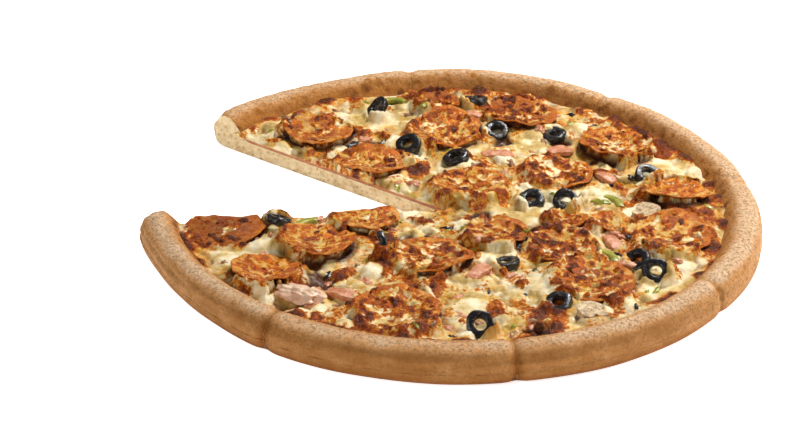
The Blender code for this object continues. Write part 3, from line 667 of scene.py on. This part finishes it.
# Olive rings: lean and direction
oliveLook = {
    "radius": 7.6 * mm,
    "hole": 3.2 * mm,
    "thickness": 4.4 * mm,
    "sink": 1.3 * mm,
    "leans": ((24, 60), (74, 10), (48, 275), (10, 120), (18, 240), (30, 220), (42, 260), (20, 250), (34, 250),
              (26, 290), (22, 270), (16, 90), (18, 200), (46, 200), (28, 230), (8, 200)),
}


def olivePiece(number, lean, turn):
    look = oliveLook
    half, wall = look["thickness"] / 2, look["radius"] - look["hole"]
    bm = bmesh.new()
    bmesh.ops.create_circle(bm, cap_ends=False, segments=18, radius=0.5)
    for vert in bm.verts:  # the section: flat cut faces, a round skin outside and a soft edge inside
        x, z = vert.co.x * 2, vert.co.y * 2
        boxy = 0.55 if x > 0 else 0.35
        vert.co = Vector((look["hole"] + wall / 2 + wall / 2 * math.copysign(abs(x) ** boxy, x), 0,
                          half * math.copysign(abs(z) ** 0.45, z)))
    bmesh.ops.spin(bm, geom=bm.verts[:] + bm.edges[:], axis=(0, 0, 1), angle=2 * math.pi, steps=40,
                   use_merge=True)
    bmesh.ops.remove_doubles(bm, verts=bm.verts[:], dist=1e-6)
    for vert in bm.verts:
        vert.co *= 1 + 0.13 * noise.noise(vert.co / (6 * mm) + Vector((number, 0, 0)))
        flat = Vector((vert.co.x, vert.co.y, 0))
        vert.co.z += 0.5 * mm * noise.noise(flat / (7 * mm) + Vector((0, number, 0)))
    turnPiece(bm, lean, polar(1, turn + 90))
    node = f"olive_{number:02d}"
    placeOnNode(bm, node, look["sink"])
    finishPiece(bm, f"oliveRing{number:02d}", ("blackOlive",), [node], 70)


for number, (lean, turn) in enumerate(oliveLook["leans"], 1):
    olivePiece(number, lean, turn)


# Ham strips: length, width, direction, arch, in mm and degrees
hamLook = {
    "height": 3.6 * mm,
    "strips": ((20, 8, 58, 1.4), (17, 8, -20, 0.8), (18, 7, -70, 1.2), (20, 8, 2, 1.4),
               (18, 9, 21, 1.6), (14, 7, -49, 0.8), (16, 6, -8, 1.2)),
}


def hamPiece(number, length, width, turn, arch):
    bm = bmesh.new()
    bmesh.ops.create_cube(bm, size=1)
    bmesh.ops.subdivide_edges(bm, edges=bm.edges[:], cuts=9, use_grid_fill=True)
    for vert in bm.verts:
        spread = Vector([math.copysign(min(1, abs(value) * 2), value) for value in vert.co])
        rounded = spread / max(1, sum(abs(value) ** 8 for value in spread) ** 0.125)
        size = Vector((length * mm / 2, width * mm / 2, hamLook["height"] / 2))
        place = scaled(rounded, size)
        share = place.x / size.x
        place.y *= 1 - 0.22 * share ** 4 + 0.1 * math.sin(4 * share)
        place *= 1 + 0.09 * noise.noise(place / (4 * mm) + Vector((number, 2, 0)))
        dent = noise.noise(place / (5 * mm) + Vector((0, number, 5)))
        place.z += arch * mm * (1 - share ** 2) + 0.5 * mm * dent
        vert.co = place
    turnPiece(bm, turn, "Z")
    node = f"ham_{number:02d}"
    placeOnNode(bm, node)
    finishPiece(bm, f"hamStrip{number:02d}", ("pinkHam",), [node], 70)


for number, strip in enumerate(hamLook["strips"], 1):
    hamPiece(number, *strip)


# Green pepper: bend in degrees and direction of its middle
pepperLook = {
    "height": 3.2 * mm,
    "width": 5 * mm,
    "bendRadius": 11 * mm,
    "strips": ((95, 40), (75, 30), (90, 95), (65, 120)),
}


def pepperPiece(number, bend, turn):
    look = pepperLook
    span = math.radians(bend)
    bm = bmesh.new()
    bmesh.ops.create_circle(bm, cap_ends=True, segments=16, radius=1)
    for vert in bm.verts:
        x, z = vert.co.x, vert.co.y
        vert.co = Vector((look["bendRadius"] + look["width"] / 2 * math.copysign(abs(x) ** 0.7, x), 0,
                          look["height"] / 2 * (1 + math.copysign(abs(z) ** 0.7, z) * (1 - 0.15 * x))))
    bmesh.ops.spin(bm, geom=bm.verts[:] + bm.edges[:] + bm.faces[:], axis=(0, 0, 1), angle=span, steps=26)
    for vert in bm.verts:
        share = 2 * math.atan2(vert.co.y, vert.co.x) / span - 1
        vert.co.z = (vert.co.z - look["height"] / 2) * (1 - 0.3 * abs(share) ** 5) + look["height"] / 2
        vert.co *= 1 + 0.02 * noise.noise(vert.co / (4 * mm) + Vector((number, 0, 0)))
    turnPiece(bm, turn - bend / 2, "Z")
    node = f"pepper_{number:02d}"
    placeOnNode(bm, node)
    finishPiece(bm, f"pepperStrip{number:02d}", ("greenPepper",), [node], 60)


for number, strip in enumerate(pepperLook["strips"], 1):
    pepperPiece(number, *strip)


# Mushroom slices: direction of the stalk and lean
mushroomLook = {"thickness": 3.4 * mm, "cap": 9 * mm, "slices": ((200, 6), (330, 5))}


def mushroomPiece(number, turn, lean):
    look = mushroomLook
    bm = bmesh.new()
    bmesh.ops.create_circle(bm, cap_ends=True, segments=72, radius=1)
    inner = bm.faces[:]
    for _ in range(5):
        bmesh.ops.inset_region(bm, faces=inner, thickness=0.17, use_even_offset=True)
    bmesh.ops.poke(bm, faces=inner)
    for vert in bm.verts:
        angle, reach = math.atan2(vert.co.y, vert.co.x), vert.co.length
        stalk = math.exp(-((angle / 0.36) ** 4))  # the cap's outline is nipped in on both sides of it
        outline = 0.9 - 0.38 * math.exp(-((abs(angle) - 0.72) / 0.3) ** 2) + 0.06 * stalk
        vert.co = Vector((math.cos(angle), math.sin(angle), 0)) * reach * outline * look["cap"]
    raised = bmesh.ops.extrude_face_region(bm, geom=bm.faces[:])["geom"]
    bmesh.ops.translate(bm, verts=vertsOf(raised), vec=(0, 0, look["thickness"]))
    for vert in bm.verts:
        vert.co.z += 0.7 * mm * noise.noise(vert.co / (6 * mm) + Vector((0, number, 0)))
    turnPiece(bm, lean, "Y")
    turnPiece(bm, turn, "Z")
    node = f"mushroom_{number:02d}"
    placeOnNode(bm, node)
    finishPiece(bm, f"mushroomSlice{number:02d}", ("softMushroom",), [node], 60)


for number, (turn, lean) in enumerate(mushroomLook["slices"], 1):
    mushroomPiece(number, turn, lean)


# Chicken: one pale lump
chickenLook = {"size": (14 * mm, 7 * mm, 4.5 * mm), "turn": -25, "sink": 1 * mm}


def chickenPiece():
    bm = bmesh.new()
    bmesh.ops.create_icosphere(bm, subdivisions=5, radius=1)
    for vert in bm.verts:
        wave = 0.95 + 0.32 * noise.noise(vert.co * 1.9) + 0.2 * noise.noise(vert.co * 4.2)
        vert.co = scaled(vert.co, chickenLook["size"]) * wave
    turnPiece(bm, chickenLook["turn"], "Z")
    placeOnNode(bm, "chicken_01", chickenLook["sink"])
    finishPiece(bm, "chickenLump", ("paleChicken",), ["chicken_01"], 70)


chickenPiece()
print("small toppings laid")


# Cheese: a fine sheet whose height and colours are worked out point by point
cheeseLook = {
    "cells": 344,
    "reach": 158 * mm,
    "level": 13.7 * mm,
    "bottom": 10.3 * mm,
    "highest": 22 * mm,
    "curds": 330,
    "curdReach": 155,
    "curdSeed": 23,
    "toppingSeed": 4,
    "climbFrom": 146 * mm,  # where the cheese starts up the rim
    "climbTo": 15.0 * mm,
    "groove": 1.1 * mm,
    "film": 1.7 * mm,
    "bareEdge": -0.12,
    "mound": 0.66,
    "moundReach": 14 * mm,
    "bury": 0.75,
    # distance, angle, radius of places that stayed white, and of those that toasted
    "white": ((112, 206, 16), (112, 276, 10), (100, 300, 9), (138, 20, 12), (92, 332, 10), (110, 99, 13),
              (148, 192, 8), (138, 206, 8), (148, 322, 9), (27, 345, 6), (60, 12, 12), (86, 12, 10),
              (74, 80, 9), (98, 60, 10), (30, 190, 8), (124, 112, 10), (112, 160, 10), (130, 330, 8)),
    "toasted": ((145, 289, 14), (125, 295, 9), (148, 97, 10), (90, 105, 9), (75, 240, 10), (98, 262, 8),
                (54, 226, 9), (118, 330, 8), (148, 262, 10), (147, 345, 8), (105, 118, 8), (50, 110, 9)),
    # distance, angle, radius, depth of the pits where the sauce shows; their dark colour is partly the sauce,
    # partly painted shade
    "pits": ((114, 231, 8, 2.6), (112, 34, 8, 2.2), (66, 336, 5, 2.2), (122, 3, 7, 2.4), (34, 84, 6, 1.6),
             (145, 288, 6, 2.2), (47, 240, 5, 2.0), (76, 252, 5, 2.0), (101, 222, 6, 2.2), (22, 320, 6, 1.8),
             (108, 52, 5, 1.6), (92, 70, 5, 1.8), (58, 300, 5, 1.6), (128, 318, 5, 1.6), (96, 120, 5, 1.6)),
}


def cheeseFields(xs, ys):
    look = cheeseLook
    fromX, fromY = xs - middle.x, ys - middle.y
    radii = np.hypot(fromX, fromY)
    broad, mid = noiseField(xs, ys, 24 * mm, 1.3), noiseField(xs, ys, 10 * mm, 4.1)
    small, tiny = noiseField(xs, ys, 4.2 * mm, 7.7), noiseField(xs, ys, 1.9 * mm, 2.9)
    ridge = 1 - np.abs(noiseField(xs, ys, 6.5 * mm, 12.5))
    height = look["level"] + (0.8 * broad + 0.6 * mid - 0.6) * mm
    toast = 0.08 + 0.32 * broad + 0.24 * mid
    oil = 0.45 + 0.5 * noiseField(xs, ys, 15 * mm, 9.2)
    deep = np.zeros_like(xs)

    def awayFrom(distance, angle, radius):  # in radii of the place
        place = spot(distance, angle)
        return np.hypot(xs - place.x, ys - place.y) / (radius * mm)

    def offLine(angle):  # how far left of the line at this angle, and whether on its side of the middle
        way, normal = polar(1, angle), polar(1, angle + 90)
        return fromX * normal.x + fromY * normal.y, fromX * way.x + fromY * way.y > 0

    # curds that melted into rounded, stretched lumps: some stayed white, some browned
    draw = random.Random(look["curdSeed"])
    for _ in range(look["curds"]):
        place = spot(look["curdReach"] * math.sqrt(draw.random()), draw.uniform(0, 360))
        long = draw.uniform(4, 12) * mm
        wide, turn = long * draw.uniform(0.35, 0.9), draw.uniform(0, math.pi)
        rise, tint = draw.uniform(1.4, 4.4) * mm, draw.choice((-0.5, -0.4, -0.1, 0.15, 0.3, 0.6))
        dx, dy = xs - place.x + 0.9 * mm * small, ys - place.y + 0.9 * mm * mid
        along, across = dx * math.cos(turn) + dy * math.sin(turn), dy * math.cos(turn) - dx * math.sin(turn)
        dome = np.clip(1 - (along / long) ** 2 - (across / wide) ** 2, 0, 1) ** 0.7
        top = look["level"] + (0.8 * broad - 1.6) * mm + rise * dome * 1.25
        taller = ease((top - height) / (0.5 * mm))
        height = np.maximum(height, top)
        toast = toast * (1 - taller) + (tint + 0.25 * mid) * taller
        oil -= 0.5 * taller

    for distance, angle, radius in look["white"]:
        near = np.exp(-(awayFrom(distance, angle, radius) ** 2))
        toast -= 0.8 * near
        oil -= 0.7 * near
        height += 1.0 * mm * near
    for distance, angle, radius in look["toasted"]:
        near = np.exp(-(awayFrom(distance, angle, radius) ** 2))
        toast += 0.7 * near
        height += (1.4 + 0.8 * small) * mm * near
    height += (0.55 * small + 0.4 * tiny) * mm * (0.4 + 0.6 * ease(toast + 0.6))
    for distance, angle, radius, depth in look["pits"]:
        away = awayFrom(distance, angle, radius) + 0.3 * small
        near = np.exp(-(np.clip(away, 0, 9) ** 3))
        height -= depth * 1.3 * mm * near
        # the pits' dark colour: partly the sauce, partly painted shade
        deep += 1.1 * near
    # painted shade where the cheese lies low
    deep += 0.8 * ease((look["level"] - 1.6 * mm - height) / (1.2 * mm))

    # painted shade in the hollows, where the fat also pools
    raised = (height - look["level"]) / mm - 0.8 * broad
    hollow = ease((0.1 - raised) / 1.6)
    oil += 0.5 * hollow
    deep += 0.6 * hollow ** 2

    # the cheese climbs the foot of the rim and browns there
    edge = ease((radii - look["climbFrom"]) / (8 * mm))
    climb = noiseField(xs, ys, 12 * mm, 20.0)
    height = height * (1 - edge) + edge * (look["climbTo"] + 1.8 * mm * climb)
    toast += edge * (0.25 + 0.7 * climb)
    oil += edge * 0.4

    # the knife's grooves, part closed again
    for angle in cutAngles[1:-1]:
        off, ahead = offLine(angle)
        groove = np.exp(-(((off + 0.8 * mm * mid) / (1.1 * mm)) ** 2)) * ahead * (0.6 + 0.6 * small)
        height -= look["groove"] * groove
        oil += 0.4 * groove

    # each slice of pepperoni: cheese under it, a toasted film over part of it, over the edge in places, and
    # painted shade beside its lifted edges and under it
    filmNoise = 0.8 * noiseField(xs, ys, 8 * mm, 31.0) + 0.6 * noiseField(xs, ys, 3.6 * mm, 35.0)
    for number, (shape, place) in enumerate(zip(pepperoniLook["shapes"], pepperoniPlaces)):
        radius = shape[0] * mm
        dx, dy = xs - place.x, ys - place.y
        near = np.flatnonzero(np.hypot(dx, dy) < radius + look["moundReach"])
        dx, dy, own = dx[near], dy[near], height[near]
        reach, turn = np.hypot(dx, dy), np.arctan2(dy, dx)
        toEdge = np.minimum(1, radius / np.maximum(reach, mm))
        top = place.z + pepperoniBend(shape, dx * toEdge, dy * toEdge) + pepperoniLook["thickness"]
        drape = np.sin(turn - 1.9 + 1.3 * math.sin(4.7 * number)) + 0.5 * np.sin(3 * turn + number)
        drape += 0.4 * mid[near]
        beyond = (reach - radius) / mm
        mound = look["mound"] + 0.22 * math.sin(2.3 * number)
        own = own + mound * np.maximum(0, top - 2.4 * mm - own) * np.exp(-np.maximum(0, beyond) / 6)
        lifted = np.clip((top - own) / mm - 4.5, 0, 3)
        drape = ease((drape - 0.6 * lifted - look["bareEdge"] - 0.2 * math.sin(1.7 * number)) / 0.25)
        rim = 1 - ease((radius - reach) / (5 * mm))
        film = filmNoise[near] + 0.6 + 2.2 * shape[7] - 2.6 * rim * (1 - drape)
        relief = (0.8 * small[near] + 0.6 * tiny[near] + 1.0 * ridge[near]) * mm
        over = top + look["film"] * ease(film / 0.5) + relief * ease(film / 0.4)
        outer = ease((beyond + 8) / 7.5)
        under = top - 2.4 * mm - outer * np.maximum(0, top - 2.4 * mm - own)
        sunk = ease(-film / 0.22)
        within = reach < radius
        skirt = top + 0.8 * mm + relief - (0.6 * beyond + 0.08 * beyond ** 2) * mm
        dip = 0.9 * mm * (1 - drape) * np.exp(-(beyond / 1.6) ** 2)
        outside = own + drape * np.maximum(0, skirt - own) - dip
        height[near] = np.where(within, over * (1 - sunk) + under * sunk, outside)
        draped = drape * ease(1 - beyond / 6)
        browned = 0.05 + 0.45 * shape[6] + 0.4 * shape[6] ** 2 + 0.4 * small[near] + 0.34 * mid[near]
        toast[near] = np.where(within, browned, toast[near] + (browned - toast[near]) * draped)
        oiled = oil[near] + 0.5 * ease(1 - np.abs(beyond - 1.5) / 4)
        oil[near] = np.where(within, 0.62 + 0.3 * mid[near] + 0.4 * rim, oiled)
        # painted shade on the cheese beside the lifted edges and tucked under the slice
        shade = (1 - drape) * ease((top - own) / (4 * mm) - 0.4) * ease(1.3 - np.abs(beyond) / 2.5)
        shade = np.maximum(deep[near] * (1 - draped), 0.8 * shade)
        deep[near] = np.where(within, sunk * ease((beyond + 9) / 5), shade)

    # the other toppings are bedded in a raised lip, and on one side the cheese runs over them
    draw = random.Random(look["toppingSeed"])
    for node in sorted(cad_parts):
        if node.split("_")[0] not in ("olive", "ham", "pepper", "mushroom", "chicken"):
            continue
        low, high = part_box(node)
        halfX, halfY = (high.x - low.x) / 2, (high.y - low.y) / 2
        dx, dy = xs - (low.x + high.x) / 2, ys - (low.y + high.y) / 2
        away = np.hypot(dx / halfX, dy / halfY)
        lip = np.exp(-(((away - 1.05) / 0.22) ** 2)) * (0.5 + 0.8 * mid)
        buryTurn, buryShare = draw.uniform(0, 2 * math.pi), draw.uniform(0.8, 1.2)
        side = (dx * math.cos(buryTurn) + dy * math.sin(buryTurn)) / max(halfX, halfY) + 0.25 * small
        isOlive = node.startswith("olive")
        bury = ease((side - (0.45 if isOlive else 0.2)) / 0.5) * ease((1.6 - away) / 0.5) * look["bury"]
        height = np.where(away < 1.5, np.minimum(height, low.z + 2.2 * mm + 1.2 * mm * (away > 1)), height)
        height += (1.6 if isOlive else 1.0) * mm * lip
        height += bury * np.maximum(0, low.z + buryShare * (high.z - low.z) - height)
        toast -= 0.3 * np.exp(-(away ** 4) / 4)

    # the layer sags where it was cut open
    for angle, side in ((gapFirst, -1), (gapLast, 1)):
        off, ahead = offLine(angle)
        height -= 1.3 * mm * np.exp(-(np.clip(off * side, 0, 1) / (1.6 * mm))) * ahead
    height = np.clip(height, look["bottom"] + 0.7 * mm, look["highest"])
    toast += np.clip((height - look["level"]) / mm, -1, 3) * 0.05
    return height, np.clip(toast, -1, 1), np.clip(oil, 0, 1), np.clip(deep, 0, 1)


def cheesePiece():
    look = cheeseLook
    bm = bmesh.new()
    bmesh.ops.create_grid(bm, x_segments=look["cells"], y_segments=look["cells"], size=look["reach"])
    bmesh.ops.translate(bm, verts=bm.verts[:], vec=middle)
    for angle in (gapFirst, gapLast):
        bmesh.ops.bisect_plane(bm, geom=bm.verts[:] + bm.edges[:] + bm.faces[:], dist=1e-6,
                               plane_co=middle, plane_no=polar(1, angle + 90))

    def isWaste(face):
        off = face.calc_center_median() - middle
        return off.length > look["reach"] or gapFirst < math.degrees(math.atan2(off.y, off.x)) % 360 < gapLast

    bmesh.ops.delete(bm, geom=[face for face in bm.faces if isWaste(face)], context="FACES")
    for vert in bm.verts:
        off = vert.co - middle
        if vert.is_boundary and off.length > look["reach"] - 2 * mm:
            vert.co = middle + off.normalized() * look["reach"]
    places = np.array([vert.co for vert in bm.verts])
    height, toast, oil, deep = cheeseFields(places[:, 0], places[:, 1])
    layers = [bm.verts.layers.float.new(name) for name in ("toast", "oil", "deep")]
    for i, vert in enumerate(bm.verts):
        vert.co.z = height[i]
        for layer, values in zip(layers, (toast, oil, deep)):
            vert[layer] = values[i]
    border = [edge for edge in bm.edges if edge.is_boundary]
    for share in (0.35, 0.5, 1.0):
        border = bmesh.ops.extrude_edge_only(bm, edges=border)["geom"]
        for vert in vertsOf(border):
            vert.co.z += (look["bottom"] - vert.co.z) * share
        border = edgesOf(border)
    bmesh.ops.triangle_fill(bm, edges=border, use_beauty=False)
    finishPiece(bm, "meltedCheese", ("meltedSkin",), ["cheese"], 75)
    return places[:, 0], places[:, 1], height


cheeseX, cheeseY, cheeseZ = cheesePiece()
print("cheese melted", len(cheeseZ))


def surfaceAt(x, y):
    return float(cheeseZ[np.argmin((cheeseX - x) ** 2 + (cheeseY - y) ** 2)])


# Crumbs scattered over the cheese, one piece for each kind: how many, sizes, material, slot, seed
crumbReach = 148
crumbLook = {
    "meatCrumbs": (26, (1.8, 3.6), "brownedMeat", "pepperoni", 5),
    "pepperCrumbs": (32, (1.4, 3.0), "greenPepper", "green_pepper", 8),
    "hamCrumbs": (44, (1.8, 3.6), "pinkHam", "ham", 13),
    "oliveCrumbs": (26, (1.5, 3.0), "blackOlive", "olive", 21),
}


def crumbPiece(name, count, sizes, skin, slot, seed):
    draw = random.Random(seed)
    bm = bmesh.new()
    placed = 0
    while placed < count:
        angle = draw.uniform(gapLast - 360 + 4, gapFirst - 4)
        place = spot(crumbReach * math.sqrt(draw.uniform(0.03, 1)), angle)
        size = draw.uniform(*sizes) * mm
        slices = zip(pepperoniLook["shapes"], pepperoniPlaces)
        if any(math.dist(place[:2], under[:2]) < (shape[0] - 1) * mm for shape, under in slices):
            continue  # it would lie on a slice of pepperoni
        placed += 1
        made = bmesh.ops.create_icosphere(bm, subdivisions=3, radius=1)["verts"]
        stretch = Vector((draw.uniform(1.1, 2.2), draw.uniform(0.6, 1), draw.uniform(0.6, 0.8))) * size
        shift = Vector((draw.uniform(0, 50), draw.uniform(0, 50), 0))
        for vert in made:
            wave = 1 + 0.5 * noise.noise(vert.co * 1.3 + shift) + 0.35 * noise.noise(vert.co * 3 + shift)
            vert.co = scaled(vert.co, stretch) * wave
        bmesh.ops.rotate(bm, verts=made, matrix=Matrix.Rotation(draw.uniform(0, math.pi), 3, "Z"))
        bmesh.ops.translate(bm, verts=made, vec=(place.x, place.y, surfaceAt(place.x, place.y) - 0.45 * size))
    finishPiece(bm, name, (skin,), (), 70)


for name, values in crumbLook.items():
    crumbPiece(name, *values)
print("crumbs scattered")


# Studio: white floor, a main lamp above and behind, softer ones right and left, the photograph's camera
studioLook = {
    "floorSize": 4,
    "floorColor": (0.93, 0.93, 0.93),
    "worldStrength": 0.09,
    "floorGlow": 0.8,
    # name, place, size, power, color
    "lamps": (
        ("keyLamp", (0.42, 0.64, 1.0), 0.15, 18.5, (1.0, 0.98, 0.95)),
        ("rightLamp", (1.1, -0.2, 0.5), 0.35, 5.5, (1.0, 0.98, 0.95)),
        ("leftLamp", (-0.7, -1.0, 0.7), 0.4, 6, (1.0, 1.0, 1.0)),
    ),
    "cameraPlace": (-0.0292147, -1.308006, 0.6983326),
    "cameraRight": (0.9997881, 0.0096367, 0.0181901),
    "cameraUp": (-0.0205851, 0.4680394, 0.8834678),
    "sensor": 36,
    "lens": 2600 / 796 * 36,  # 2600 pixels in a picture 796 pixels wide
    "shift": -5.5 / 796,
}


def buildStudio():
    look = studioLook
    bm = bmesh.new()
    bmesh.ops.create_grid(bm, x_segments=1, y_segments=1, size=look["floorSize"])
    mesh = bpy.data.meshes.new("floor")
    bm.to_mesh(mesh)
    bm.free()
    material, _, shader, _ = newMaterial("whiteFloor")
    shader.inputs["Base Color"].default_value = (*look["floorColor"], 1)
    shader.inputs["Roughness"].default_value = 0.9
    shader.inputs["Emission Color"].default_value = (1, 1, 1, 1)
    shader.inputs["Emission Strength"].default_value = look["floorGlow"]
    mesh.materials.append(material)
    addObject("floor", mesh)
    world = bpy.data.worlds.new("studio")
    world.use_nodes = True
    sky = world.node_tree.nodes["Background"]
    sky.inputs["Color"].default_value = (1, 1, 1, 1)
    sky.inputs["Strength"].default_value = look["worldStrength"]
    bpy.context.scene.world = world
    for name, place, size, power, color in look["lamps"]:
        light = bpy.data.lights.new(name, "AREA")
        light.size = size
        light.energy = power
        light.color = color
        lamp = addObject(name, light)
        lamp.location = place
        lamp.rotation_euler = (-Vector(place)).to_track_quat("-Z", "Y").to_euler()
    camera = bpy.data.cameras.new("photoCamera")
    camera.sensor_width = look["sensor"]
    camera.lens = look["lens"]
    camera.shift_y = look["shift"]
    camera.clip_start, camera.clip_end = 0.01, 50
    seat = addObject("photoCamera", camera)
    right, up = Vector(look["cameraRight"]), Vector(look["cameraUp"])
    turn = Matrix((right, up, right.cross(up))).transposed().to_4x4()
    seat.matrix_world = Matrix.Translation(Vector(look["cameraPlace"]) + middle) @ turn
    bpy.context.scene.camera = seat
    bpy.context.scene.view_settings.view_transform = "Standard"


buildStudio()
print("studio lit")
